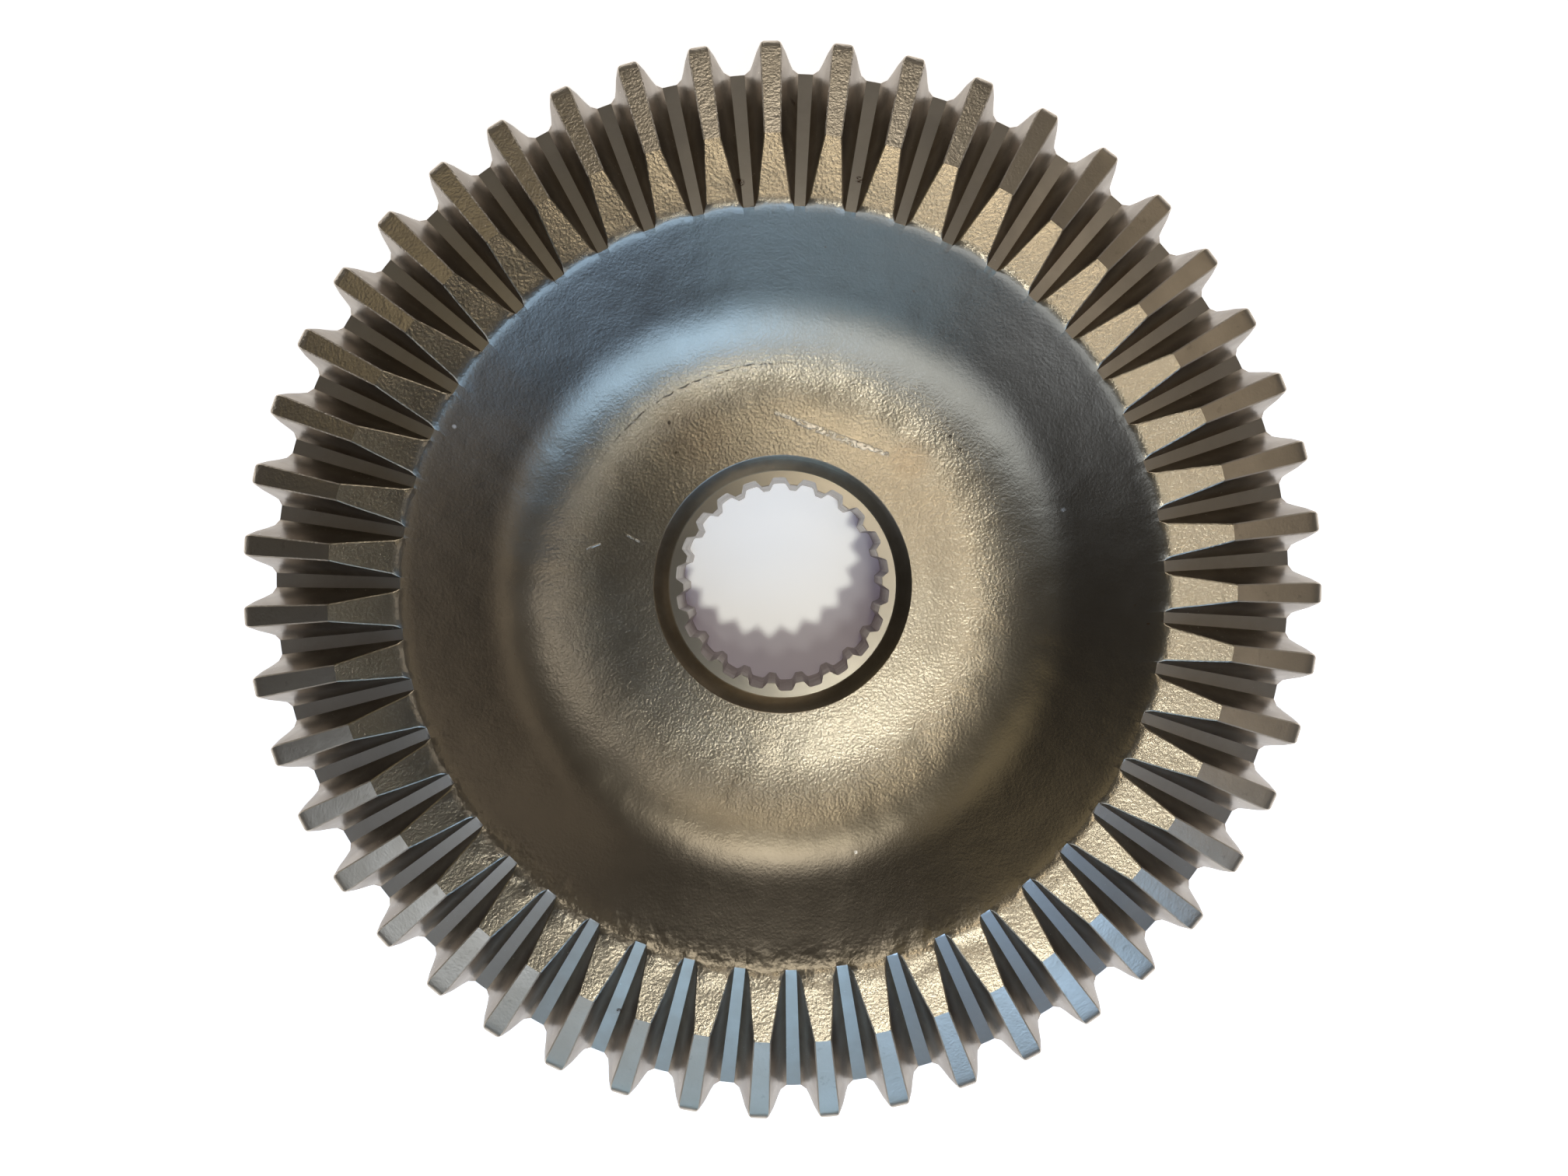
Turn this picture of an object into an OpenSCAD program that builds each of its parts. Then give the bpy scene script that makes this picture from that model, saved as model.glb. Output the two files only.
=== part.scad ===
// Bevel ring gear: a one-piece steel forging with straight cut teeth round a deep bowl,
// and a hub at the bottom of the bowl with a splined bore.
// The gear turns about Z. It stands on the back face of its hub, at Z = 0, with the teeth up.

/* [Teeth] */
// Number of teeth
tooth_count = 47; // [45:1:50]
// Number of teeth on the pinion that the gear meshes with, which sets the cone angle
pinion_tooth_count = 16; // [15:1:18]
// Module at the heel, the outer end of the teeth
heel_module = 5; // [4.8:0.1:5.3]
// Pressure angle of the tooth flanks, in degrees
pressure_angle = 17.5; // [14.5:0.5:22.5]
// Height of the teeth above the pitch cone at the heel
addendum = 5; // [4.5:0.1:5.5]
// Depth of the gaps below the pitch cone at the heel
dedendum = 6; // [5.6:0.1:6.6]
// Radius in the bottom corners of the gaps at the heel
root_fillet_r = 0.8; // [0.3:0.1:1.2]
// Length of the teeth along the pitch cone, from the heel to the toe
tooth_length = 36; // [34:0.5:38]
// Length of the tooth tops that is turned to a true cone, from the heel
turned_top_length = 22.6; // [16:0.2:26]
// Fall of the forged tooth tops from the turned length in towards the bowl, in degrees
toe_fall_angle = 9.5; // [7:0.5:11]
// Rounding of the tooth tops at the heel
heel_edge_r = 0.8; // [0.4:0.1:2]
// Angle of the first tooth from X, in degrees
first_tooth_angle = 7; // [0:0.5:7.5]

/* [Rim] */
// Thickness of the rim behind the gaps at the heel
rim_wall = 8.6; // [7:0.2:11]
// Rounding of the outer edge at the back of the rim
rim_back_r = 2; // [0.5:0.5:4]
// Rounding of the inner edge at the back of the rim
rim_inner_back_r = 4; // [1:0.5:5]

/* [Bowl] */
// Rounding where the tooth tops turn down into the bowl
mouth_r = 5; // [3:0.5:7]
// Depth of the bowl, from its mouth to its level floor
bowl_depth = 23; // [21:0.5:24]
// Slope of the bowl wall, in degrees
bowl_wall_angle = 40; // [37:0.5:44]
// Radius of the curve between the bowl wall and the level floor
bowl_curve_r = 42; // [36:1:46]
// Thickness of the web behind the bowl
web_wall = 11.5; // [10:0.5:13]
// Radius of the curve at the back of the web
web_back_r = 30; // [20:1:32]

/* [Hub] */
// Height of the tooth tips at the heel above the back face of the hub
heel_height = 48; // [45:0.5:51]
// Diameter of the hub boss
hub_d = 78; // [72:1:84]
// Radius between the hub boss and the web
hub_fillet_r = 5; // [2:0.5:7]
// Chamfer round the back face of the hub
hub_chamfer = 1.5; // [0.5:0.1:2.5]
// Diameter of the turned countersink where it meets the floor of the bowl
countersink_d = 61; // [58:0.5:64]
// Diameter of the level shelf at the bottom of the countersink
shelf_d = 54; // [52.5:0.5:56]
// Slope of the countersink, in degrees
countersink_angle = 45; // [35:1:55]

/* [Splined bore] */
// Number of spline grooves
spline_count = 22; // [20:1:24]
// Diameter across the bottoms of the grooves
spline_major_d = 51; // [50.4:0.1:51.6]
// Diameter across the tips of the spline teeth
spline_minor_d = 47.4; // [46.8:0.1:48]
// Slope of the groove sides from the middle of the groove, in degrees
spline_flank_angle = 30; // [25:1:35]
// Chamfer of the bore at the back face
bore_chamfer = 1.2; // [0.5:0.1:1.8]
// Angle of the first groove from X, in degrees
first_groove_angle = 10; // [0:0.5:16]

/* [Hidden] */
steel = "#6f6859";

// Length by which a cutting solid passes the surface that it cuts
overrun = 8;
// Steps along a flank, and round each bottom corner of a gap
flank_steps = 3;
corner_steps = 2;
// Most that a rounded corner of the section departs from its arc
round_error = 0.03;
$fn = 180;

// Pitch cone
pitch_r = heel_module * tooth_count / 2;
cone_angle = atan(tooth_count / pinion_tooth_count);
cone_length = pitch_r / sin(cone_angle);
heel_pitch_z = heel_height - addendum * sin(cone_angle);
apex = [0, heel_pitch_z + pitch_r / tan(cone_angle)];

// Tooth tops: the corners of their line from the heel to the mouth of the bowl
heel_tip = behind_heel(addendum);
heel_root = behind_heel(-dedendum);
turned_end = heel_tip + unit(apex - heel_tip) * turned_top_length;
toe_r = pitch_r * (1 - tooth_length / cone_length);
mouth = [toe_r, turned_end.y - (turned_end.x - toe_r) * tan(toe_fall_angle)];

// Rim, bowl, web and hub
rim_back_z = heel_root.y - rim_wall;
rim_back_outer = heel_tip - [(heel_tip.y - rim_back_z) / tan(cone_angle), heel_tip.y - rim_back_z];
floor_z = mouth.y - bowl_depth;
bowl_corner = mouth - [bowl_depth / tan(bowl_wall_angle), bowl_depth];
web_corner = bowl_corner + [web_wall * tan(bowl_wall_angle / 2), -web_wall];
rim_back_inner = web_corner + (rim_back_z - web_corner.y) * [1 / tan(bowl_wall_angle), 1];
hub_r = hub_d / 2;
bore_r = spline_minor_d / 2;
shelf_z = floor_z - (countersink_d - shelf_d) / 2 * tan(countersink_angle);

// Tooth flanks, as those of the straight gear that the heel unrolls to
unrolled_r = pitch_r / cos(cone_angle);
base_r = unrolled_r * cos(pressure_angle);
quarter_pitch = 90 * heel_module / (2 * unrolled_r);

// A point of the section on the heel face, at a height over the pitch cone
function behind_heel(height) =
    [pitch_r + height * cos(cone_angle), heel_pitch_z + height * sin(cone_angle)];

function unit(v) = v / norm(v);

function involute(angle) = tan(angle) * 180 / PI - angle;

// Half the angle of a gap of the unrolled gear at a radius
function half_gap(r) = quarter_pitch - involute(pressure_angle) + involute(acos(base_r / r));

// A flank point of the unrolled gear at a radius, as [across, up from the pitch line]
function flank_point(r) = [r * sin(half_gap(r)), r * cos(half_gap(r)) - unrolled_r];

// Right half of a gap at the heel, from its bottom to above the tooth tips
root_slope = atan2(flank_point(unrolled_r - dedendum + root_fillet_r).x
    - flank_point(unrolled_r - dedendum).x, root_fillet_r);
root_half_width = flank_point(unrolled_r - dedendum).x;
corner_x = root_half_width + root_fillet_r * (tan(root_slope) - 1 / cos(root_slope));
bottom_corner = [for (i = [0:corner_steps])
    let (a = -90 + (90 - root_slope) * i / corner_steps)
    [corner_x + root_fillet_r * cos(a), root_fillet_r - dedendum + root_fillet_r * sin(a)]];
flank = [for (i = [1:flank_steps])
    flank_point(unrolled_r - dedendum + root_fillet_r
        + (addendum + dedendum - root_fillet_r) * i / flank_steps)];
flank_top = flank[flank_steps - 1];
above_tip = flank_top + unit(flank_top - flank[flank_steps - 2]) * overrun / 2;
half_section = concat(bottom_corner, flank, [above_tip]);

// Points of a corner of the section rounded between the corners before and after it
function rounded(before, corner, after, r) =
    r == 0 ? [corner] :
    let (u = unit(before - corner), v = unit(after - corner), half = acos(u * v) / 2,
        centre = corner + unit(u + v) * r / sin(half),
        first = corner + u * r / tan(half) - centre, last = corner + v * r / tan(half) - centre,
        a = atan2(first.y, first.x), turn = atan2(cross(first, last), first * last),
        steps = ceil(abs(turn) / (2 * acos(1 - round_error / r))))
    [for (i = [0:steps]) centre + r * [cos(a + turn * i / steps), sin(a + turn * i / steps)]];

// Corners of the section with their radii, from the bore out along the back, up the heel
// and in over the tooth tops and the bowl
section = [
    [[bore_r, bore_chamfer], 0],
    [[bore_r + bore_chamfer, 0], 0],
    [[hub_r - hub_chamfer, 0], 0],
    [[hub_r, hub_chamfer], 0],
    [[hub_r, web_corner.y], hub_fillet_r],
    [web_corner, web_back_r],
    [rim_back_inner, rim_inner_back_r],
    [rim_back_outer, rim_back_r],
    [heel_tip, heel_edge_r],
    [turned_end, 0],
    [mouth, mouth_r],
    [bowl_corner, bowl_curve_r],
    [[countersink_d / 2, floor_z], 0],
    [[shelf_d / 2, shelf_z], 0],
    [[bore_r, shelf_z], 0],
];

module blank() {
    last = len(section) - 1;
    rotate_extrude()
        polygon([for (i = [0:last])
            each rounded(section[i == 0 ? last : i - 1][0], section[i][0],
                section[i == last ? 0 : i + 1][0], section[i][1])]);
}

// One tooth gap on the X axis: its section at the heel, shrunk towards the apex of the cones
module tooth_gap() {
    n = len(half_section);
    toe_end = 1 - (tooth_length + overrun) / cone_length;
    heel_end = 1 + overrun / cone_length;
    ring = concat(half_section, [for (i = [n - 1:-1:0]) [-half_section[i].x, half_section[i].y]]);
    points = [for (share = [toe_end, heel_end], p = ring)
        let (at = behind_heel(p.y))
        [share * at.x, share * p.x, apex.y + share * (at.y - apex.y)]];
    end_face = [for (i = [0:n - 2]) [i, i + 1, 2 * n - 2 - i, 2 * n - 1 - i]];
    polyhedron(points, concat(
        end_face,
        [for (f = end_face) [for (i = [3:-1:0]) f[i] + 2 * n]],
        [for (i = [0:2 * n - 1]) let (next = (i + 1) % (2 * n)) [i, i + 2 * n, next + 2 * n, next]]));
}

module spline_grooves() {
    pitch_mid_r = (spline_major_d + spline_minor_d) / 4;
    half_mid = PI * pitch_mid_r / spline_count / 2;
    slope = tan(spline_flank_angle);
    inner_r = bore_r - bore_chamfer;
    outer_r = spline_major_d / 2 + bore_chamfer;
    half_inner = half_mid + (pitch_mid_r - inner_r) * slope;
    half_outer = half_mid - (outer_r - pitch_mid_r) * slope;
    translate([0, 0, -overrun])
        linear_extrude(shelf_z + 2 * overrun)
            intersection() {
                circle(d = spline_major_d);
                for (i = [0:spline_count - 1])
                    rotate(first_groove_angle + i * 360 / spline_count)
                        polygon([[inner_r, -half_inner], [outer_r, -half_outer],
                            [outer_r, half_outer], [inner_r, half_inner]]);
            }
}

module ring_gear() {
    color(steel)
        difference() {
            blank();
            for (i = [0:tooth_count - 1])
                rotate([0, 0, first_tooth_angle + (i + 0.5) * 360 / tooth_count])
                    tooth_gap();
            spline_grooves();
        }
}

ring_gear();
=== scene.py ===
"""Looks of the bevel ring gear: its forged, turned and cut steel surface, on a pale floor.

The gear is one closed mesh that stands for the CAD solid. It follows the sizes of the CAD model,
with the forging set a little off the turned axis, as the real one is. Sizes and places are in
millimetres until an object is made of them, and angles in radians. North is +Y and east is +X.
"""

import math

import bpy
import numpy as np
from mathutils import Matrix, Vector


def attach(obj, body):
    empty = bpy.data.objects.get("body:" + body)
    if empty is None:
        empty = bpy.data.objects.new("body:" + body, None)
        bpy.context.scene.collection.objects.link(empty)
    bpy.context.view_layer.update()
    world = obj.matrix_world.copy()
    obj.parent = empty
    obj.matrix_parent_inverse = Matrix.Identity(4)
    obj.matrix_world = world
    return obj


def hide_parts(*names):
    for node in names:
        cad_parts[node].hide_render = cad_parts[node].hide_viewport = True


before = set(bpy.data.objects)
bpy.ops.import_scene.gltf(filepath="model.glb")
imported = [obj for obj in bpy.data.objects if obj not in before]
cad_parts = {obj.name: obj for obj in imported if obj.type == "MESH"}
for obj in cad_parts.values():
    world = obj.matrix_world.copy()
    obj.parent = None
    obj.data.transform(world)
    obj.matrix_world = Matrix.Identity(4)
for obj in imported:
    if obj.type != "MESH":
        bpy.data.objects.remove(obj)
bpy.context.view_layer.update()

MM = 0.001

# Teeth
TEETH = 47
PINION_TEETH = 16
HEEL_MODULE = 5.0
ADDENDUM = 5.0
DEDENDUM = 6.0
TURNED_LENGTH = 22.6
TOOTH_LENGTH = 36.0
TOE_FALL = math.radians(9.5)
FIRST_TOOTH = math.radians(7)

# Rim, bowl, web and hub
RIM_WALL = 8.6
RIM_BACK_R = 2.0
RIM_INNER_BACK_R = 4.0
MOUTH_R = 5.0
BOWL_DEPTH = 23.0
BOWL_WALL = math.radians(40)
BOWL_CURVE_R = 42.0
WEB_WALL = 11.5
WEB_BACK_R = 30.0
HEEL_HEIGHT = 48.0
HUB_R = 39.0
HUB_FILLET_R = 5.0
HUB_CHAMFER = 1.5
COUNTERSINK_R = 30.5
SHELF_R = 27.0
COUNTERSINK_ANGLE = math.radians(45)

# Splined bore
GROOVES = 22
GROOVE_BOTTOM_R = 25.5
SPLINE_TIP_R = 23.7
SPLINE_FLANK = math.radians(30)
BORE_CHAMFER = 1.2
FIRST_GROOVE = math.radians(10)

# Pitch cone, as in the CAD model
PITCH_R = HEEL_MODULE * TEETH / 2
CONE = math.atan(TEETH / PINION_TEETH)
CONE_LENGTH = PITCH_R / math.sin(CONE)
HEEL_PITCH_Z = HEEL_HEIGHT - ADDENDUM * math.sin(CONE)
APEX_Z = HEEL_PITCH_Z + PITCH_R / math.tan(CONE)
UNROLLED_R = PITCH_R / math.cos(CONE)
TOE_SHARE = 1 - TOOTH_LENGTH / CONE_LENGTH
PITCH_ANGLE = 2 * math.pi / TEETH

# What the real forging has beyond the CAD model. From the bowl's curve outwards it lies a
# little south of the turned axis, low and tilted. A band is the two radii between which
# something sets in or ends
FORGED_SHIFT = 1.0
FORGED_LOW = 0.44
FORGED_TILT = 0.42
SHIFT_BAND = (42, 66)
# Its skin is lumpy outside the countersink, and more so on the south side of the bowl's lip,
# between two distances south of the axis
LUMPS = 0.045
LUMP_SIZE = 5.5
SMALL_LUMP_SIZE = 2.3
LUMPS_BAND = (32, 36)
LIP_LUMPS = 0.2
LIP_LUMP_SIZE = 3.4
LIP_START_BAND = (80, 83)
LIP_END_BAND = (87, 92)
LIP_SOUTH = (45, 75)
# The tops are turned a little lower, and wear has widened each spline groove on both sides
TURNED_LOW = 0.34
GROOVE_WEAR = 0.25
# The roots rise and the flanks lean more towards the toe, and the flanks bulge at the heel,
# most at one height over the pitch cone and up to a reach above and below it
ROOT_RISE = 3.0
HEEL_PRESSURE = math.radians(16)
TOE_PRESSURE = math.radians(20)
FLANK_BULGE = 0.17
BULGE_HEIGHT = 1.0
BULGE_REACH = 3.6
# Half width of the flat root strip at the heel, and the slanted corner between it and the flank
ROOT_FLAT = 1.62
ROOT_CORNER = 1.4
ROOT_CORNER_SLOPE = 0.66
EDGE_BEVEL = 0.2
# Most of a gap's depth that the corner and the bevel take where the gap runs out
CORNER_MOST = 0.5
BEVEL_MOST = 0.4
# Rounding of the heel ends: length along the teeth, drop of the tops, and width off the flanks,
# which is reached at a height over the root
HEEL_ROUND = 2.2
HEEL_DROP = 0.75
HEEL_NARROWING = 1.25
NARROWING_RISE = 3.0
# Rounded corners of the spline: in the bottoms of the grooves, across and down, and at the tips
GROOVE_CORNER = (0.25, 0.18)
TIP_CORNER = 0.15

# Crossings of two surfaces are found by halving a span: that of the heights over the pitch cone
# at which a gap meets the front, of the radii at which the turned tops end, and of the shares
# along the teeth at which the roots run out
HALVINGS = 36
FRONT_SPAN = (-24, ADDENDUM + 1.5)
TURNED_END_SPAN = (92, 104)
ROOT_END_SPAN = (0.62, 0.80)

# Finishes of the faces, in the order of the materials
FORGED, TURNED, CUT, CUT_ROOT, HUB_TURNED, BROACHED = range(6)


def behind_heel(height):
    """The (radius, z) of a point on the heel face, at a height over the pitch cone."""
    return np.array([PITCH_R + height * math.cos(CONE), HEEL_PITCH_Z + height * math.sin(CONE)])


def unit(v):
    return v / np.linalg.norm(v)


# Corners of the section, as (radius, z)
HEEL_TIP = behind_heel(ADDENDUM)
TURNED_END = HEEL_TIP + unit(np.array([0, APEX_Z]) - HEEL_TIP) * TURNED_LENGTH
TOE_R = PITCH_R * TOE_SHARE
MOUTH = np.array([TOE_R, TURNED_END[1] - (TURNED_END[0] - TOE_R) * math.tan(TOE_FALL)])
RIM_BACK_Z = behind_heel(-DEDENDUM)[1] - RIM_WALL
RIM_BACK_OUTER = HEEL_TIP - (HEEL_TIP[1] - RIM_BACK_Z) * np.array([1 / math.tan(CONE), 1])
FLOOR_Z = MOUTH[1] - BOWL_DEPTH
BOWL_CORNER = MOUTH - np.array([BOWL_DEPTH / math.tan(BOWL_WALL), BOWL_DEPTH])
WEB_CORNER = BOWL_CORNER + np.array([WEB_WALL * math.tan(BOWL_WALL / 2), -WEB_WALL])
RIM_BACK_INNER = WEB_CORNER + (RIM_BACK_Z - WEB_CORNER[1]) * np.array([1 / math.tan(BOWL_WALL), 1])
SHELF_Z = FLOOR_Z - (COUNTERSINK_R - SHELF_R) * math.tan(COUNTERSINK_ANGLE)


def rounded(before, corner, after, r, steps):
    """Points of a corner of a section, rounded between the corners before and after it."""
    before, corner, after = (np.array(p, float) for p in (before, corner, after))
    u, v = unit(before - corner), unit(after - corner)
    half = math.acos(np.clip(u @ v, -1, 1)) / 2
    centre = corner + unit(u + v) * r / math.sin(half)
    first = corner + u * r / math.tan(half) - centre
    last = corner + v * r / math.tan(half) - centre
    start = math.atan2(first[1], first[0])
    turn = math.atan2(first[0] * last[1] - first[1] * last[0], first @ last)
    angles = [start + turn * i / steps for i in range(steps + 1)]
    return [centre + r * np.array([math.cos(a), math.sin(a)]) for a in angles]


# ---- The front surface: turned tooth tops, forged flare, mouth, bowl wall and floor

# The flare is drawn on past the place where the turned cone cuts it off
FLARE_LENGTH = 30
FLARE_END = MOUTH + FLARE_LENGTH * np.array([1, math.tan(TOE_FALL)])
FORGED_PROFILE = np.array(
    [[0, FLOOR_Z]]
    + rounded([0, FLOOR_Z], BOWL_CORNER, MOUTH, BOWL_CURVE_R, steps=60)
    + rounded(BOWL_CORNER, MOUTH, FLARE_END, MOUTH_R, steps=30)
    + [FLARE_END]
)


def value_noise(x, y, size, seed):
    """Smooth seeded noise from -1 to 1 with cells of a size."""
    cells = 256
    table = np.random.default_rng(seed).uniform(-1, 1, (cells, cells))
    gx, gy = x / size + cells / 2, y / size + cells / 2
    ix, iy = np.floor(gx).astype(int), np.floor(gy).astype(int)
    fx, fy = gx - ix, gy - iy
    fx, fy = fx * fx * (3 - 2 * fx), fy * fy * (3 - 2 * fy)

    def at(dx, dy):
        return table[(ix + dx) % cells, (iy + dy) % cells]

    low = at(0, 0) * (1 - fx) + at(1, 0) * fx
    high = at(0, 1) * (1 - fx) + at(1, 1) * fx
    return low * (1 - fy) + high * fy


def smooth_step(x, start, end):
    s = np.clip((x - start) / (end - start), 0, 1)
    return s * s * (3 - 2 * s)


def turned_z(radius):
    """Height of the turned cone of the tooth tops."""
    return HEEL_TIP[1] - TURNED_LOW + (HEEL_TIP[0] - radius) * (APEX_Z - HEEL_TIP[1]) / HEEL_TIP[0]


def forged_z(radius, angle):
    """Height of the forged front, from the floor of the bowl to the flare."""
    x, y = radius * np.cos(angle), radius * np.sin(angle)
    off_axis = smooth_step(radius, *SHIFT_BAND)
    own_radius = np.hypot(x, y + FORGED_SHIFT * off_axis)
    z = np.interp(own_radius, FORGED_PROFILE[:, 0], FORGED_PROFILE[:, 1])
    z = z + off_axis * (FORGED_TILT * np.sin(angle) - FORGED_LOW)
    skin = value_noise(x, y, LUMP_SIZE, 1) + 0.5 * value_noise(x, y, SMALL_LUMP_SIZE, 2)
    lip = smooth_step(radius, *LIP_START_BAND) * (1 - smooth_step(radius, *LIP_END_BAND))
    lip = lip * smooth_step(-y, *LIP_SOUTH)
    lump = value_noise(x, y, LIP_LUMP_SIZE, 3)
    return z + smooth_step(radius, *LUMPS_BAND) * (LUMPS * skin + LIP_LUMPS * lip * lump)


def front_z(radius, angle):
    return np.minimum(turned_z(radius), forged_z(radius, angle))


def bisect(above, shape, low, high):
    """Where above() turns from False to True between two values, for arrays of a shape."""
    low, high = np.full(shape, float(low)), np.full(shape, float(high))
    for _ in range(HALVINGS):
        middle = (low + high) / 2
        is_above = above(middle)
        high = np.where(is_above, middle, high)
        low = np.where(is_above, low, middle)
    return (low + high) / 2


# ---- The tooth gaps: sections at the heel, shrunk towards the apex of the cones


def involute(a):
    return np.tan(a) - a


def flank_half_width(height, pressure):
    """Half the width of a gap between its flanks, as at the heel."""
    r = UNROLLED_R + height
    half = HEEL_MODULE * math.pi / 4 / UNROLLED_R - involute(pressure)
    return r * np.sin(half + involute(np.arccos(np.minimum(UNROLLED_R * np.cos(pressure) / r, 1))))


def half_width(share, height, root):
    """Half the width of a gap, as at the heel, at a height over the pitch cone."""
    over = np.clip(height - root, 0, None)
    towards_toe = (1 - share) / (1 - TOE_SHARE)
    flank = flank_half_width(height, HEEL_PRESSURE + (TOE_PRESSURE - HEEL_PRESSURE) * towards_toe)
    at_bulge = np.clip(1 - ((height - BULGE_HEIGHT) / BULGE_REACH) ** 2, 0, None)
    bulge = FLANK_BULGE * at_bulge * (1 - towards_toe)
    return np.minimum(ROOT_FLAT + ROOT_CORNER_SLOPE * over, flank - bulge)


def cone_radius(height):
    return PITCH_R + height * math.cos(CONE)


def cone_z(share, height):
    return APEX_Z + share * (HEEL_PITCH_Z + height * math.sin(CONE) - APEX_Z)


def share_at(radius, z):
    """How far along the teeth a point lies, from 0 at the apex to 1 at the heel."""
    return (radius * math.sin(CONE) + (APEX_Z - z) * math.cos(CONE)) / CONE_LENGTH


def root_height(share):
    return ROOT_RISE * (1 - share) - DEDENDUM


def front_height(share, angle, side, root, drop):
    """Height over the pitch cone at which a flank, or with side 0 a line, meets the front."""

    def above(height):
        turn = side * np.arctan2(half_width(share, height, root), cone_radius(height))
        return cone_z(share, height) > front_z(share * cone_radius(height), angle + turn) - drop

    shape = np.broadcast_shapes(np.shape(share), np.shape(angle))
    return bisect(above, shape, *FRONT_SPAN)


def turned_share(angle):
    """Share at which the turned tops end and the forged flare begins."""
    r = bisect(lambda r: turned_z(r) < forged_z(r, angle), angle.shape, *TURNED_END_SPAN)
    return share_at(r, turned_z(r))


def groove_end_share(angle):
    """Share at which the root runs out through the mouth of the bowl."""

    def below_front(share):
        height = root_height(share)
        return cone_z(share, height) < front_z(share * cone_radius(height), angle)

    return bisect(below_front, angle.shape, *ROOT_END_SPAN)


# Rings of the tooth ring: shares before the end of the roots, then steps along the flare and
# along the turned tops, and turns round the heel ends
BEFORE_END = [0.012, 0.006]
ALONG_FLARE = [0, 0.02, 0.045, 0.075, 0.11, 0.145, 0.18, 0.22, 0.26,
               0.3, 0.35, 0.42, 0.5, 0.6, 0.7, 0.8, 0.9, 0.975]
ALONG_TOP = [0, 0.015] + [i / 12 for i in range(1, 13)]
HEEL_TURNS = [math.radians(a) for a in (20, 40, 58, 72)]

# Columns of one gap, counted from its middle to each side: the edge of the flat root, the top of
# the flank, the edge of the land beyond the bevel, and the middle of the tooth
ROOT_EDGE, FLANK_TOP, LAND_EDGE, TOOTH_MIDDLE = 1, 6, 7, 9
# Columns 2, 4 and 5: the share of the corner's or the flank's height at which each lies
UP_CORNER = 0.12
UP_FLANK = (0.35, 0.7)
# Least distance between neighbouring columns, where the gap runs out, and off the bevel
COLUMN_GAP = 0.02
LAND_GAP = 0.14


def tooth_rows():
    """Shares, rounding from 0 to 1, and finishes of the lands and gaps, from the mouth out."""
    gap = FIRST_TOOTH + (np.arange(TEETH) + 0.5) * PITCH_ANGLE
    column = np.arange(-TOOTH_MIDDLE, TOOTH_MIDDLE)
    rough_angle = gap[:, None] + column * PITCH_ANGLE / 2 / TOOTH_MIDDLE
    end, flare_end = groove_end_share(rough_angle), turned_share(rough_angle)
    heel = 1 - HEEL_ROUND / CONE_LENGTH

    rows = [(end - before, 0.0, FORGED, FORGED) for before in BEFORE_END]
    rows += [(end + (flare_end - end) * s, 0.0, FORGED, CUT) for s in ALONG_FLARE]
    rows += [(flare_end + (heel - flare_end) * s, 0.0, TURNED, CUT) for s in ALONG_TOP]
    for a in HEEL_TURNS:
        share = 1 - HEEL_ROUND * (1 - math.sin(a)) / CONE_LENGTH
        rows.append((np.full(end.shape, share), 1 - math.cos(a), TURNED, CUT))
    return gap[:, None], column, rows


def tooth_rings():
    """Rings of points over the teeth, from the heel in to the mouth, and the finish after each."""
    gap, column, rows = tooth_rows()
    sides, steps = np.sign(column), np.abs(column)
    next_steps = np.roll(steps, -1)
    is_land = steps >= LAND_EDGE
    # A face belongs to the land, or to the root strip, when both of its columns do
    land_face = (steps >= FLANK_TOP) & (next_steps >= FLANK_TOP)
    root_face = (steps <= ROOT_EDGE) & (next_steps <= ROOT_EDGE)

    rings, finishes = [], []
    for share, rounding, land, groove in rows:
        drop, narrowing = HEEL_DROP * rounding, HEEL_NARROWING * rounding
        root = root_height(share)
        middle = front_height(share, gap, 0, root, drop)
        edge = front_height(share, gap, np.where(sides == 0, 1, sides), root, drop)
        root = np.minimum(root, middle)
        depth = np.clip(edge - root, 0, None)
        bevel = np.minimum(EDGE_BEVEL, BEVEL_MOST * depth)
        corner = np.minimum(ROOT_CORNER, CORNER_MOST * depth)
        flank = depth - bevel - corner

        # The gap: its root, corners and flanks
        up = np.choose(np.minimum(steps, FLANK_TOP), [
            0 * depth, 0 * depth, UP_CORNER * corner, corner,
            corner + UP_FLANK[0] * flank, corner + UP_FLANK[1] * flank, corner + flank])
        height = root + up
        off_flank = narrowing * np.clip(up / NARROWING_RISE, 0, 1)
        wide = np.where(steps == ROOT_EDGE, ROOT_FLAT, half_width(share, height, root)) + off_flank
        across = np.where(steps == 0, 0, wide + COLUMN_GAP * np.minimum(steps, FLANK_TOP))
        angle = gap + sides * np.arctan2(across, cone_radius(height))

        # The land: just off the edge, half way to the middle of the tooth, and its middle
        edge_across = half_width(share, edge, root) + EDGE_BEVEL / share + LAND_GAP + narrowing
        edge_angle = np.arctan2(edge_across, cone_radius(edge))
        on_land = np.choose(np.maximum(steps, LAND_EDGE) - LAND_EDGE, [
            edge_angle, (edge_angle + PITCH_ANGLE / 2) / 2, np.full(edge.shape, PITCH_ANGLE / 2)])
        land_angle = gap + sides * on_land
        land_height = front_height(share, land_angle, 0, root, drop)

        angle = np.where(is_land, land_angle, angle)
        height = np.where(is_land, land_height, height)
        points = ring_points(share * cone_radius(height), angle, cone_z(share, height))
        rings.append(points.reshape(-1, 3))
        in_gap = np.where(root_face & (groove == CUT), CUT_ROOT, groove)
        finishes.append(np.tile(np.where(land_face, land, in_gap), TEETH))
    return rings[::-1], finishes[::-1]


# ---- Plain rings


def ring_points(radius, angle, z):
    """Points at radii, angles and heights, each a number or an array."""
    return np.stack(np.broadcast_arrays(radius * np.cos(angle), radius * np.sin(angle), z), -1)


def circle(radius, z, count):
    return ring_points(radius, np.arange(count) * 2 * math.pi / count, z)


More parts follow.
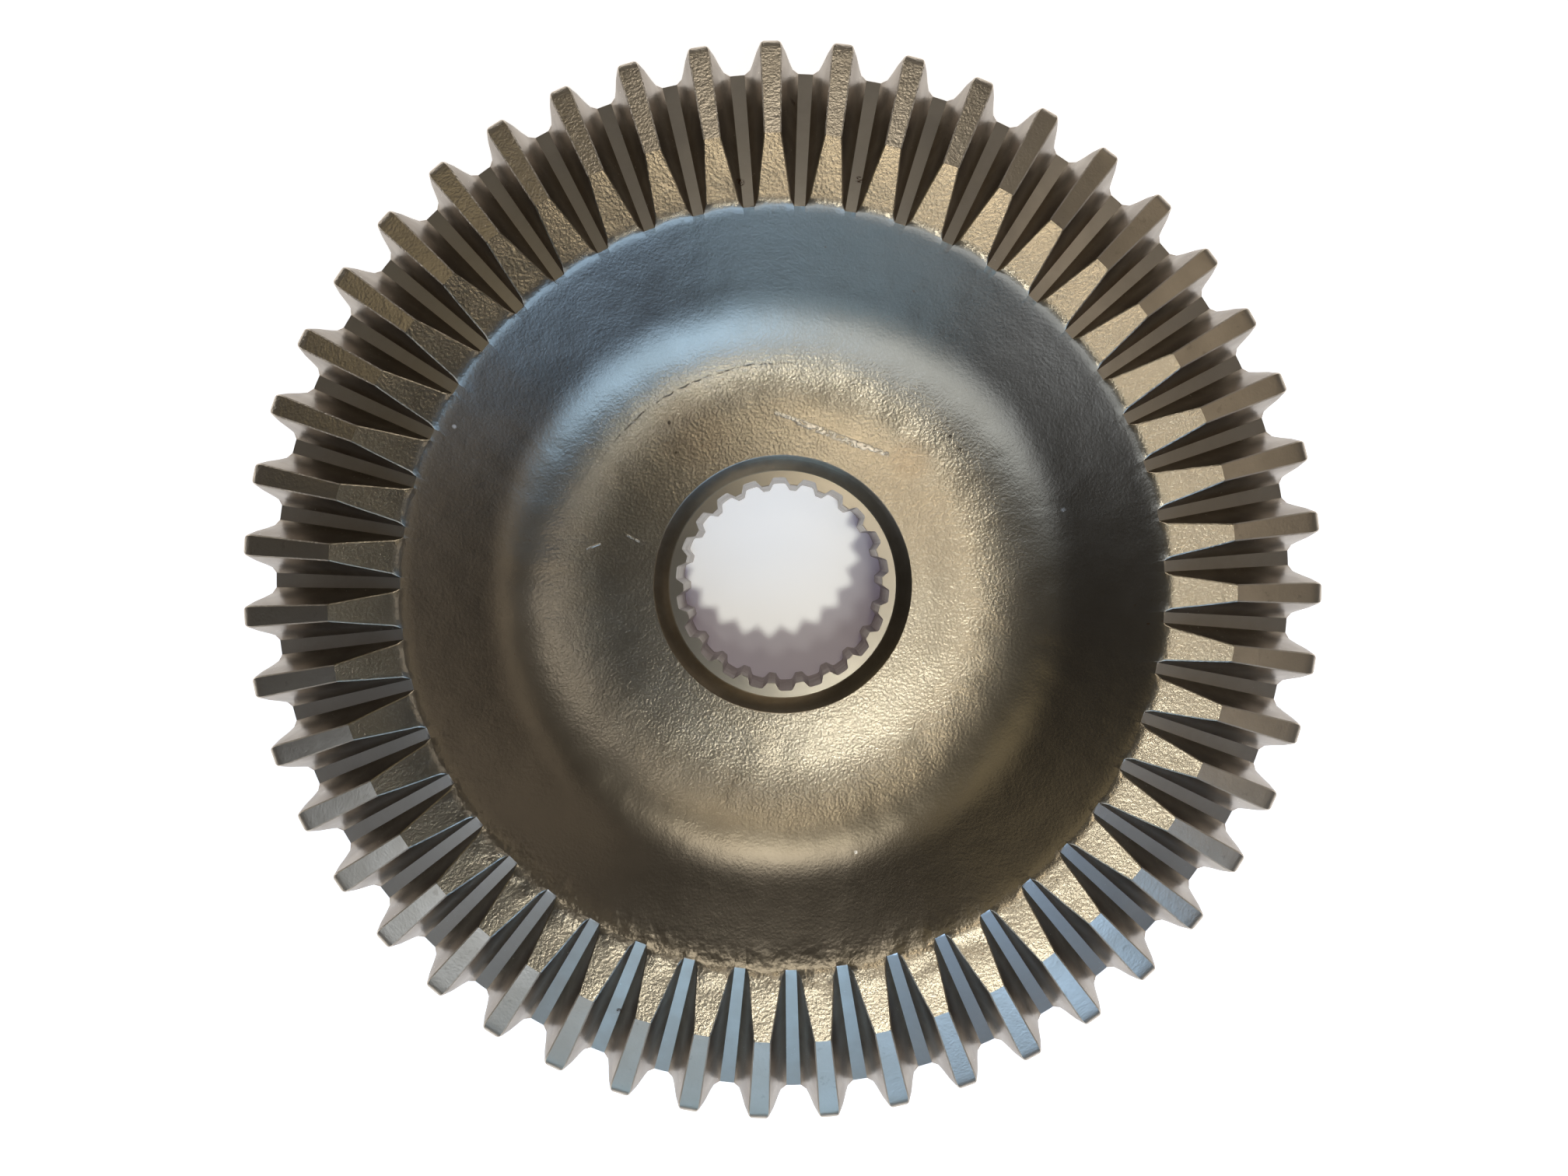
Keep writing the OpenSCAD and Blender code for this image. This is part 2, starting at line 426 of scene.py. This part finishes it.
def front_ring(radius, count):
    """A ring on the forged front."""
    angle = np.arange(count) * 2 * math.pi / count
    return ring_points(radius, angle, forged_z(radius, angle))


def spline_outline(least_radius, z):
    """The outline of the splined bore, with the tips cut back to a least radius."""
    pitch = 2 * math.pi / GROOVES
    middle_r = (GROOVE_BOTTOM_R + SPLINE_TIP_R) / 2
    half_middle = math.pi * middle_r / GROOVES / 2 + GROOVE_WEAR

    def side(r):
        return half_middle + (middle_r - r) * math.tan(SPLINE_FLANK)

    bottom, tip = GROOVE_BOTTOM_R, SPLINE_TIP_R
    corner_across, corner_down = GROOVE_CORNER
    half = [
        (side(bottom) - corner_across, bottom),
        (side(bottom - corner_down), bottom - corner_down),
        (side(middle_r), middle_r),
        (side(tip + TIP_CORNER), tip + TIP_CORNER),
        (side(tip) + TIP_CORNER, tip),
    ]
    right = [(math.asin(x / r), max(r, least_radius)) for x, r in half]
    left = [(pitch - a, r) for a, r in right[::-1]]
    one = [(0.0, bottom)] + right + [(pitch / 2, max(tip, least_radius))] + left
    points = np.array([(FIRST_GROOVE + i * pitch + a, r) for i in range(GROOVES) for a, r in one])
    return ring_points(points[:, 1], points[:, 0], z)


# ---- The closed mesh

# Points round each ring of the back and of the bowl
BACK_COLUMNS = 360
FRONT_COLUMNS = 480
# The first round ring of the back face, outside the chamfer of the bore
BACK_FACE_R = 28
# Rings of the bowl between the tooth ring and the countersink
BOWL_RADII = [79.2, 78.0, *np.arange(76.6, 41.0, -1.45), 38.8, 36.5, 34.2, 32.6, 31.2]
# The heel face starts this far above the rounded back edge of the rim
FOOT_RISE = 0.25
# Small bevels: across and down at the countersink's outer edge, at its foot, and across and
# down at the top of the spline
COUNTERSINK_BEVEL = (0.25, 0.12)
SHELF_BEVEL = 0.2
SPLINE_BEVEL = (0.12, 0.15)
# A ring on the shelf, half way from the countersink to the spline
MID_SHELF_R = 26.45
# Edges that turn by more than this look sharp
SHARP_ANGLE = math.radians(24)


class Skin:
    """A closed surface of rings, each joined to the one before it."""

    def __init__(self):
        self.points, self.faces, self.finishes = [], [], []
        self.first = self.last = None
        self.count = 0

    def add(self, ring, finish):
        """Adds a ring; finish is that of the faces between it and the ring before."""
        now = (self.count, ring)
        self.points.append(ring)
        self.count += len(ring)
        if self.last is not None:
            self.join(self.last, now, finish)
        else:
            self.first = now
        self.last = now

    def close(self, finish):
        self.join(self.last, self.first, finish)

    def join(self, a, b, finish):
        """Faces between two rings, each given by the number of its first point and its points."""
        (a0, a_ring), (b0, b_ring) = a, b
        n, m = len(a_ring), len(b_ring)
        if n == m:
            for i in range(n):
                j = (i + 1) % n
                self.faces.append((a0 + i, a0 + j, b0 + j, b0 + i))
            self.finishes.extend(int(f) for f in np.broadcast_to(finish, (n,)))
            return
        # Rings of different counts: triangles that always take the nearer next point
        whole = 2 * math.pi
        a_turn = np.unwrap(np.arctan2(a_ring[:, 1], a_ring[:, 0]))
        b_turn = np.unwrap(np.arctan2(b_ring[:, 1], b_ring[:, 0]))
        offset = int(np.argmin(np.abs((b_turn - a_turn[0] + math.pi) % whole - math.pi)))
        b_turn = np.unwrap(np.roll(b_turn, -offset))
        b_turn += whole * round((a_turn[0] - b_turn[0]) / whole)
        i = j = 0
        while i < n or j < m:
            a_next = a_turn[(i + 1) % n] + (whole if i + 1 >= n else 0)
            b_next = b_turn[(j + 1) % m] + (whole if j + 1 >= m else 0)
            here_a, here_b = a0 + i % n, b0 + (j + offset) % m
            if j >= m or (i < n and a_next <= b_next):
                self.faces.append((here_a, a0 + (i + 1) % n, here_b))
                i += 1
            else:
                self.faces.append((here_a, b0 + (j + 1 + offset) % m, here_b))
                j += 1
            self.finishes.append(int(np.max(finish)))


def gear_skin():
    """The whole surface: from the bore out along the back, up the heel, in over the teeth, down
    the bowl and back through the bore."""
    skin = Skin()
    skin.add(spline_outline(SPLINE_TIP_R, BORE_CHAMFER), BROACHED)
    skin.add(spline_outline(SPLINE_TIP_R + BORE_CHAMFER, 0), BROACHED)
    for r, z in [(BACK_FACE_R, 0), (HUB_R - HUB_CHAMFER, 0), (HUB_R, HUB_CHAMFER)]:
        skin.add(circle(r, z, BACK_COLUMNS), HUB_TURNED)
    hub_top = rounded([HUB_R, 0], [HUB_R, WEB_CORNER[1]], WEB_CORNER, HUB_FILLET_R, steps=8)
    web = rounded([HUB_R, WEB_CORNER[1]], WEB_CORNER, RIM_BACK_INNER, WEB_BACK_R, steps=10)
    rim_inner = rounded(WEB_CORNER, RIM_BACK_INNER, RIM_BACK_OUTER, RIM_INNER_BACK_R, steps=6)
    rim_outer = rounded(RIM_BACK_INNER, RIM_BACK_OUTER, HEEL_TIP, RIM_BACK_R, steps=5)
    for i, (r, z) in enumerate(hub_top + web + rim_inner + rim_outer):
        skin.add(circle(r, z, BACK_COLUMNS), FORGED if i else HUB_TURNED)

    rings, finishes = tooth_rings()
    # The foot of the heel face, one point under each point of the first tooth ring
    foot_r, foot_z = rim_outer[-1] + FOOT_RISE * unit(HEEL_TIP - RIM_BACK_OUTER)
    skin.add(ring_points(foot_r, np.arctan2(rings[0][:, 1], rings[0][:, 0]), foot_z), FORGED)
    skin.add(rings[0], TURNED)
    for ring, finish in zip(rings[1:], finishes[1:]):
        skin.add(ring, finish)

    for r in BOWL_RADII:
        skin.add(front_ring(r, FRONT_COLUMNS), FORGED)
    bevel_across, bevel_down = COUNTERSINK_BEVEL
    skin.add(circle(COUNTERSINK_R, FLOOR_Z, FRONT_COLUMNS), FORGED)
    for r, z in [
        (COUNTERSINK_R - bevel_across, FLOOR_Z - bevel_down),
        (SHELF_R + SHELF_BEVEL, SHELF_Z + SHELF_BEVEL),
        (SHELF_R, SHELF_Z),
        (MID_SHELF_R, SHELF_Z),
    ]:
        skin.add(circle(r, z, FRONT_COLUMNS), HUB_TURNED)
    bevel_across, bevel_down = SPLINE_BEVEL
    skin.add(spline_outline(SPLINE_TIP_R + bevel_across, SHELF_Z), HUB_TURNED)
    for z in (SHELF_Z - bevel_down, SHELF_Z * 0.75, SHELF_Z * 0.5, SHELF_Z * 0.25):
        skin.add(spline_outline(SPLINE_TIP_R, z), BROACHED)
    skin.close(BROACHED)
    return skin


def put_in_scene(name, data):
    """An object of the scene for a mesh, a lamp or a camera."""
    thing = bpy.data.objects.new(name, data)
    bpy.context.scene.collection.objects.link(thing)
    return thing


def make_mesh(name, skin, materials):
    mesh = bpy.data.meshes.new(name)
    mesh.from_pydata((np.concatenate(skin.points) * MM).tolist(), [], skin.faces)
    for material in materials:
        mesh.materials.append(material)
    mesh.polygons.foreach_set("material_index", skin.finishes)
    mesh.polygons.foreach_set("use_smooth", [True] * len(mesh.polygons))
    mesh.set_sharp_from_angle(angle=SHARP_ANGLE)
    mesh.update()
    mesh.validate()
    return put_in_scene(name, mesh)


# ---- Steel finishes

METALLIC = 0.95
# Roughness of each finish, from its dull patches to its smooth ones. All of it is satin and
# stays above 0.275, under which the renderer's denoiser takes steel for a mirror and draws rings
FORGED_ROUGHNESS = (0.3, 0.28)
CUT_ROUGHNESS = (0.32, 0.285)
HUB_ROUGHNESS = (0.3, 0.28)
SPLINE_ROUGHNESS = (0.36, 0.29)

# Marks at their places seen from above. Spots are (x, y, size) and strokes (start, end, width)
BROWN_STAINS = [(-22, 36, 16), (30, 30, 9)]
DARK_DOTS = [(39.1, 34.7, 0.9), (41.4, 31.7, 0.9), (80.4, 28.6, 1.3), (-26.5, 38, 0.9),
             (-25, 31, 0.7)]
WHITE_SPECKS = [(64, 17.3, 0.9), (-71.5, 35, 0.8), (17, -62, 0.7)]
ROOT_RUST = [(16.6, 88.5, 1.5), (-9.2, 87.6, 1.7), (2.3, 107, 1.3), (-37, -96, 1.2)]
SCRATCHES = [((-1.6, 40.4), (9, 36.6), 0.8), ((4, 38.2), (19, 32.4), 1.4),
             ((15, 34.2), (24.5, 30.7), 1.0), ((-46, 8.5), (-43, 9.6), 0.4),
             ((-36.5, 11.6), (-33.8, 10.2), 0.4)]
# A thin dark arc round the hub, within a spot
ARC_R = 52.3
ARC_PLACE = (-19, 45, 46)

SCRATCH_WHITE = (0.8, 0.75, 0.68)
SPECK_WHITE = (0.9, 0.88, 0.85)
STAIN_BROWN = (0.33, 0.22, 0.13)
RUST_BROWN = (0.25, 0.12, 0.06)
RUST_DARK = (0.1, 0.045, 0.025)
DOT_DARK = (0.1, 0.08, 0.06)
ARC_DARK = (0.07, 0.06, 0.05)


class Nodes:
    """Short calls for the nodes of one material. Places in it are in metres."""

    def __init__(self, name):
        self.material = bpy.data.materials.new(name)
        self.material.use_nodes = True
        self.tree = self.material.node_tree
        self.tree.nodes.clear()
        self.shader = self.add("ShaderNodeBsdfPrincipled")
        output = self.add("ShaderNodeOutputMaterial")
        self.link(self.shader.outputs[0], output.inputs[0])
        self.place = self.add("ShaderNodeTexCoord").outputs["Object"]

    def add(self, kind, **settings):
        node = self.tree.nodes.new(kind)
        for key, value in settings.items():
            setattr(node, key, value)
        return node

    def link(self, source, target):
        self.tree.links.new(source, target)

    def put(self, target, value):
        if isinstance(value, bpy.types.NodeSocket):
            self.link(value, target)
        else:
            target.default_value = value

    def math(self, operation, a, b=0.0, clamp=False):
        node = self.add("ShaderNodeMath", operation=operation, use_clamp=clamp)
        self.put(node.inputs[0], a)
        self.put(node.inputs[1], b)
        return node.outputs[0]

    def plus(self, a, b):
        return self.math("ADD", a, b)

    def minus(self, a, b):
        return self.math("SUBTRACT", a, b)

    def times(self, a, b):
        return self.math("MULTIPLY", a, b)

    def vector(self, operation, a, b=(0, 0, 0), scale=1.0):
        node = self.add("ShaderNodeVectorMath", operation=operation)
        self.put(node.inputs[0], a)
        self.put(node.inputs[1], b)
        if operation == "SCALE":
            self.put(node.inputs["Scale"], scale)
        gives_number = operation in ("DOT_PRODUCT", "LENGTH", "DISTANCE")
        return node.outputs["Value" if gives_number else "Vector"]

    def noise(self, size_mm, detail=3.0, roughness=0.5, place=None):
        """Noise from 0 to 1 with features of about a size."""
        node = self.add("ShaderNodeTexNoise")
        self.link(place or self.place, node.inputs["Vector"])
        node.inputs["Scale"].default_value = 1 / (size_mm * MM)
        node.inputs["Detail"].default_value = detail
        node.inputs["Roughness"].default_value = roughness
        return node.outputs[0]

    def between(self, value, low, high, to_low=0.0, to_high=1.0):
        """A smooth change from to_low to to_high as a value goes from low to high."""
        node = self.add("ShaderNodeMapRange", interpolation_type="SMOOTHSTEP")
        for i, v in enumerate((value, low, high, to_low, to_high)):
            self.put(node.inputs[i], v)
        return node.outputs[0]

    def mix(self, share, a, b):
        node = self.add("ShaderNodeMix", data_type="RGBA")
        self.put(node.inputs[0], share)
        for i, colour in ((6, a), (7, b)):
            self.put(node.inputs[i], (*colour, 1) if isinstance(colour, tuple) else colour)
        return node.outputs[2]

    def cover(self, colour, mask, strength, tint):
        """A colour under a tint that lies where a mask is 1, with a strength from 0 to 1."""
        return self.mix(self.times(mask, strength), colour, tint)

    def bump(self, height, unit_mm=1.0, strength=1.0):
        """The normal of a relief whose heights are given in a unit."""
        node = self.add("ShaderNodeBump")
        self.put(node.inputs["Height"], height)
        node.inputs["Strength"].default_value = strength
        node.inputs["Distance"].default_value = unit_mm * MM
        return node.outputs[0]

    def seen_from_above(self):
        return self.vector("MULTIPLY", self.place, (1, 1, 0))

    def radius(self):
        """Distance from the gear's axis, in metres."""
        return self.vector("LENGTH", self.seen_from_above())

    def beyond(self, start_mm, end_mm):
        """0 up to a radius, and 1 from the other on."""
        return self.between(self.radius(), start_mm * MM, end_mm * MM)

    def towards(self, direction, start_mm, end_mm, low=0.0, high=1.0):
        """A change from low to high with the distance from the axis in a direction."""
        distance = self.vector("DOT_PRODUCT", self.place, direction)
        return self.between(distance, start_mm * MM, end_mm * MM, low, high)

    def spot(self, x, y, size_mm):
        """1 on a soft spot of a size at a place seen from above, in millimetres."""
        far = self.vector("DISTANCE", self.seen_from_above(), (x * MM, y * MM, 0))
        return self.between(far, 0.3 * size_mm * MM, 0.7 * size_mm * MM, 1.0, 0.0)

    def spots(self, places):
        return self.most([self.spot(*place) for place in places])

    def stroke(self, start, end, width_mm):
        """1 on a straight stroke between two places seen from above, in millimetres."""
        a = Vector((start[0] * MM, start[1] * MM, 0))
        along = Vector((end[0] * MM, end[1] * MM, 0)) - a
        offset = self.vector("SUBTRACT", self.seen_from_above(), tuple(a))
        reach = self.vector("DOT_PRODUCT", offset, tuple(along))
        share = self.math("MULTIPLY", reach, 1 / along.length_squared, clamp=True)
        nearest = self.vector("SCALE", tuple(along), scale=share)
        far = self.vector("DISTANCE", offset, nearest)
        return self.between(far, 0.25 * width_mm * MM, 0.75 * width_mm * MM, 1.0, 0.0)

    def most(self, masks):
        result = masks[0]
        for mask in masks[1:]:
            result = self.math("MAXIMUM", result, mask)
        return result

    def plain(self, colour, roughness):
        self.shader.inputs["Base Color"].default_value = (*colour, 1)
        self.shader.inputs["Roughness"].default_value = roughness

    def steel(self, colour, roughness, normal):
        """The material, as metal with these looks."""
        self.put(self.shader.inputs["Base Color"], colour)
        self.put(self.shader.inputs["Roughness"], roughness)
        self.put(self.shader.inputs["Normal"], normal)
        self.shader.inputs["Metallic"].default_value = METALLIC
        return self.material


def forged_skin():
    """Shot-blasted forging skin: pebbled, with painted glints on the pebble tops, on the bowl's
    floor and on the flare, smoother and darker on the bowl's wall, with stains, scratches and
    specks."""
    n = Nodes("forged_skin")
    broad = n.noise(30, 3, 0.55)
    blotch = n.noise(5, 4, 0.6)
    pebble = n.noise(0.65, 2, 0.5)
    on_flare = n.beyond(80, 86)
    on_floor = n.minus(1.0, n.beyond(48, 66))
    on_wall = n.minus(n.beyond(60, 68), on_flare)
    rough_place = n.plus(n.times(on_flare, 0.7), on_floor)

    colour = n.mix(n.between(broad, 0.35, 0.65), (0.42, 0.36, 0.275), (0.47, 0.41, 0.32))
    colour = n.mix(on_wall, colour, (0.31, 0.272, 0.225))
    colour = n.mix(on_flare, colour, (0.38, 0.328, 0.255))
    # Painted glints: the colour is lighter on the tops of the pebbles
    painted_glint = n.between(pebble, 0.5, 0.75, 0, 0.4)
    colour = n.cover(colour, painted_glint, rough_place, (0.66, 0.59, 0.48))

    rust = n.times(n.between(n.noise(1.1, 2), 0.7, 0.76), n.between(n.noise(14, 2), 0.56, 0.68))
    colour = n.cover(colour, rust, 0.6, RUST_BROWN)
    colour = n.cover(colour, n.spots(BROWN_STAINS), 0.2, STAIN_BROWN)

    # The arc is thin, a little wavy and broken
    wavy_radius = n.plus(n.radius(), n.times(n.noise(3, 2), 1.2 * MM))
    off_arc = n.math("ABSOLUTE", n.minus(wavy_radius, ARC_R * MM))
    arc = n.times(n.between(off_arc, 0.08 * MM, 0.3 * MM, 1, 0), n.spot(*ARC_PLACE))
    arc = n.times(arc, n.between(n.noise(1.5, 2), 0.35, 0.6))
    colour = n.cover(colour, arc, 0.85, ARC_DARK)
    colour = n.cover(colour, n.spots(DARK_DOTS), 0.8, DOT_DARK)

    ragged = n.between(n.noise(0.8, 3, 0.7), 0.41, 0.51)
    scratch = n.times(n.most([n.stroke(*place) for place in SCRATCHES]), ragged)
    colour = n.cover(colour, scratch, 0.8, SCRATCH_WHITE)
    colour = n.mix(n.spots(WHITE_SPECKS), colour, SPECK_WHITE)

    # Relief, in millimetres. The lip of the bowl is lumpy on the south side
    height = n.times(n.minus(pebble, 0.5), n.between(rough_place, 0, 1, 0.03, 0.085))
    height = n.plus(height, n.times(blotch, 0.06))
    height = n.plus(height, n.times(scratch, 0.06))
    off_lip = n.math("ABSOLUTE", n.minus(n.radius(), 84 * MM))
    south = n.towards((-0.3, -0.95, 0), 40, 75)
    lip = n.times(n.between(off_lip, 1 * MM, 6 * MM, 1, 0), south)
    lumps = n.minus(n.noise(3.0, 2.0), 0.5)
    height = n.plus(height, n.times(lumps, n.times(lip, 0.3)))
    return n.steel(colour, n.between(blotch, 0.3, 0.7, *FORGED_ROUGHNESS), n.bump(height))


def turned_tops():
    """Turned tooth tops with dark patches of scale, rougher towards the north-west."""
    n = Nodes("turned_tops")
    cloud = n.noise(12, 4, 0.6)
    fleck = n.noise(0.6, 2, 0.5)
    scab = n.noise(2.6, 3, 0.6)
    colour = n.mix(n.between(cloud, 0.35, 0.7), (0.58, 0.5, 0.4), (0.66, 0.575, 0.47))
    colour = n.mix(n.between(scab, 0.62, 0.72, 0, 0.3), colour, (0.3, 0.24, 0.17))
    relief = n.towards((-0.5, 0.86, 0), 20, 90, 0.25, 1.0)
    height = n.times(n.plus(n.times(scab, 0.1), n.times(fleck, 0.09)), relief)
    return n.steel(colour, n.between(cloud, 0.3, 0.7, *CUT_ROUGHNESS), n.bump(height))


def cut_steel(name, dark, light):
    """Cut steel of the flanks or the roots, with bright specks and a few rust spots. The flanks
    get dark colours as painted shade, and the roots light ones as painted light.
    """
    n = Nodes(name)
    cloud = n.noise(7, 3, 0.55)
    streak = n.noise(0.9, 3, 0.6)
    grain = n.noise(0.5, 2, 0.5)
    colour = n.mix(n.between(cloud, 0.35, 0.7), dark, light)
    specks = n.times(n.between(n.noise(0.5, 1), 0.74, 0.77), n.between(n.noise(9, 1), 0.48, 0.54))
    colour = n.cover(colour, specks, 0.9, (0.9, 0.87, 0.8))
    colour = n.cover(colour, n.spots(ROOT_RUST), n.between(grain, 0.42, 0.55), RUST_DARK)
    height = n.plus(n.times(streak, 0.01), n.times(grain, 0.012))
    return n.steel(colour, n.between(cloud, 0.3, 0.7, *CUT_ROUGHNESS), n.bump(height))


def turned_hub_painted_shade_and_light():
    """Countersink and back face with fine tool lines round the axis, in dark colours that are
    painted shade, and a shelf painted lighter as lit.
    """
    n = Nodes("turned_hub_painted_shade_and_light")
    line_spacing = 0.3 * MM
    tool_lines = n.add("ShaderNodeTexNoise", noise_dimensions="1D")
    n.link(n.times(n.radius(), 1 / line_spacing), tool_lines.inputs["W"])
    tool_lines.inputs["Scale"].default_value = 1.0
    cloud = n.noise(6, 4, 0.6)
    painted_lit_shelf = n.between(n.radius(), SHELF_R * MM, (SHELF_R + 0.4) * MM, 1, 0)
    # The dark colours paint the countersink's shade, and the lighter shelf colour paints light on
    # it
    colour = n.mix(n.between(cloud, 0.3, 0.7), (0.27, 0.225, 0.17), (0.34, 0.29, 0.225))
    colour = n.mix(painted_lit_shelf, colour, (0.5, 0.45, 0.37))
    relief = n.bump(tool_lines.outputs[0], 0.02, 0.6)
    return n.steel(colour, n.between(cloud, 0.3, 0.7, *HUB_ROUGHNESS), relief)


def broached_spline():
    """Broached walls of the bore, with fine lines along the axis."""
    n = Nodes("broached_spline")
    lines = n.noise(0.5, 3, 0.6, n.vector("MULTIPLY", n.place, (1, 1, 0.06)))
    cloud = n.noise(5, 4, 0.6)
    colour = n.mix(n.between(cloud, 0.35, 0.7), (0.33, 0.28, 0.23), (0.42, 0.37, 0.32))
    relief = n.bump(lines, 0.03, 0.6)
    return n.steel(colour, n.between(cloud, 0.3, 0.7, *SPLINE_ROUGHNESS), relief)


gear = make_mesh("gear_forging", gear_skin(),
                 [forged_skin(), turned_tops(),
                  # Flank colours are darkened as painted shade in the gaps; root colours are
                  # lightened as painted light
                  cut_steel("cut_flanks_painted_shade", (0.27, 0.22, 0.17), (0.35, 0.295, 0.235)),
                  cut_steel("cut_roots_painted_light", (0.72, 0.65, 0.56), (0.8, 0.73, 0.64)),
                  turned_hub_painted_shade_and_light(), broached_spline()])
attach(gear, "root")
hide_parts("ring_gear")

# ---- Floor, lamps, world and camera

FLOOR_HALF = 3000
# The floor lies this far under the gear's back face
FLOOR_DROP = 0.3
FLOOR_COLOUR = (0.86, 0.84, 0.86)
FLOOR_SEEN = (0.8, 0.8, 0.8)
# Under the gear the floor's glow is painted dark as the gear's shadow; this painted shadow fades
# out between these radii
PAINTED_SHADOW_EDGE = (60, 122)

# A painted pool of light under the bore, as if light fell through it from the south-east, and a
# painted shadow round it scalloped like the spline grooves
POOL_CENTRE = (-3.5, 9.2)
POOL_EDGE = (20.5, 24)
POOL_SCALLOP = 0.9
PAINTED_POOL_LIGHT = (0.5, 0.49, 0.46)
PAINTED_POOL_SHADOW = (0.06, 0.045, 0.065)

CARD_HEIGHT = 335
CARD_COLOUR = (0.02, 0.02, 0.02)

# World: elevations, as the sine of the angle, at which the surroundings have each colour
HORIZON, HORIZON_COLOUR = 0.02, (0.85, 0.85, 0.86, 1)
OVERHEAD, OVERHEAD_COLOUR = 0.14, (0.018, 0.014, 0.01, 1)

# Camera, in metres
CAMERA_LENS = 27.1
CAMERA_SENSOR = 36
CAMERA_PLACE = (0, 0.0075, 0.307)
CAMERA_AIM = (0.0003, -0.0002, 0.048)


def level_sheet(name, west, east, south, north, z, material):
    """A level rectangle."""
    mesh = bpy.data.meshes.new(name)
    corners = [(west, south), (east, south), (east, north), (west, north)]
    mesh.from_pydata([(x * MM, y * MM, z * MM) for x, y in corners], [], [(0, 1, 2, 3)])
    mesh.materials.append(material)
    return put_in_scene(name, mesh)


def make_floor():
    """A pale floor that glows only where the camera or a reflection sees it, with a painted shadow
    of the gear and a painted pool of light, ringed by a scalloped painted shadow, under the bore."""
    n = Nodes("pale_floor")
    n.plain(FLOOR_COLOUR, 0.9)
    n.shader.inputs["Specular IOR Level"].default_value = 0.1
    path = n.add("ShaderNodeLightPath")
    seen = n.most([path.outputs[ray] for ray in
                   ("Is Camera Ray", "Is Glossy Ray", "Is Transmission Ray")])
    centre = (POOL_CENTRE[0] * MM, POOL_CENTRE[1] * MM, 0)
    off_pool = n.vector("SUBTRACT", n.seen_from_above(), centre)
    split = n.add("ShaderNodeSeparateXYZ")
    n.link(off_pool, split.inputs[0])
    turn = n.math("ARCTAN2", split.outputs[1], split.outputs[0])
    scallop = n.times(n.math("COSINE", n.times(turn, float(GROOVES))), POOL_SCALLOP * MM)
    reach = n.plus(n.vector("LENGTH", off_pool), scallop)
    pool_start, pool_end = POOL_EDGE
    # Painted light and shadow: the glow is light in the pool and dark round it
    glow = n.mix(n.between(reach, pool_start * MM, pool_end * MM), PAINTED_POOL_LIGHT, PAINTED_POOL_SHADOW)
    # Painted shadow under the gear, fading to the evenly pale floor outside
    glow = n.mix(n.beyond(*PAINTED_SHADOW_EDGE), glow, FLOOR_SEEN)
    n.put(n.shader.inputs["Emission Color"], glow)
    n.put(n.shader.inputs["Emission Strength"], seen)
    half = FLOOR_HALF
    floor = level_sheet("floor", -half, half, -half, half, -FLOOR_DROP, n.material)


def lamp(name, west, east, south, north, height, radiance):
    """A soft panel that faces down, between edges given in millimetres over the gear."""
    data = bpy.data.lights.new(name, "AREA")
    data.shape = "RECTANGLE"
    data.size, data.size_y = (east - west) * MM, (north - south) * MM
    brightest = max(radiance)
    data.color = [part / brightest for part in radiance]
    data.energy = brightest * math.pi * data.size * data.size_y
    panel = put_in_scene(name, data)
    panel.location = ((west + east) / 2 * MM, (south + north) / 2 * MM, height * MM)


def make_card(west, east, south, north):
    """A dark card above the camera that keeps the lamps off the west side."""
    n = Nodes("dark_card")
    n.plain(CARD_COLOUR, 0.9)
    card = level_sheet("card", west, east, south, north, CARD_HEIGHT, n.material)
    card.visible_camera = False


def make_world():
    """Dim surroundings overhead that turn pale towards the horizon."""
    world = bpy.data.worlds.new("studio")
    bpy.context.scene.world = world
    world.use_nodes = True
    tree = world.node_tree
    background = tree.nodes["Background"]
    place = tree.nodes.new("ShaderNodeTexCoord")
    split = tree.nodes.new("ShaderNodeSeparateXYZ")
    ramp = tree.nodes.new("ShaderNodeValToRGB")
    tree.links.new(place.outputs["Generated"], split.inputs[0])
    tree.links.new(split.outputs[2], ramp.inputs[0])
    tree.links.new(ramp.outputs[0], background.inputs[0])
    stops = ramp.color_ramp.elements
    stops[0].position, stops[0].color = HORIZON, HORIZON_COLOUR
    stops[1].position, stops[1].color = OVERHEAD, OVERHEAD_COLOUR


def make_camera():
    """The photo's camera, nearly straight above the gear."""
    data = bpy.data.cameras.new("camera")
    data.sensor_width = CAMERA_SENSOR
    data.lens = CAMERA_LENS
    data.clip_start = 0.01
    camera = put_in_scene("camera", data)
    camera.location = CAMERA_PLACE
    aim = Vector(CAMERA_AIM) - camera.location
    camera.rotation_euler = (math.atan2(aim.y, -aim.z), math.atan2(-aim.x, -aim.z), 0)
    bpy.context.scene.camera = camera


make_floor()
make_card(west=-52, east=18, south=-122, north=97)
# Each lamp: its west, east, south and north edges, its height and its radiance
lamp("key_north", -20, 99, 92, 260, 774, (7.6, 6.75, 5.2))
lamp("key_south", -10, 120, -263, -161, 765, (19.4, 19.4, 17.6))
lamp("key_east", 47, 383, -27, 74, 742, (1.62, 1.54, 1.42))
lamp("back_light", -326, 379, 683, 1335, 1117, (2.2, 2.1, 1.85))
lamp("north_west_light", -880, -436, 249, 870, 724, (0.38, 0.33, 0.21))
lamp("window_middle", -1115, 456, -2226, -1937, 1047, (1.64, 2.73, 3.87))
lamp("window_west", -1201, 14, -1197, -423, 955, (1.05, 1.23, 1.47))
lamp("window_east", 0, 896, -1220, -524, 875, (1.05, 1.7, 2.7))
lamp("east_light", 569, 670, -478, 1021, 494, (1.1, 0.96, 0.76))
make_world()
make_camera()
bpy.context.scene.view_settings.view_transform = "Standard"
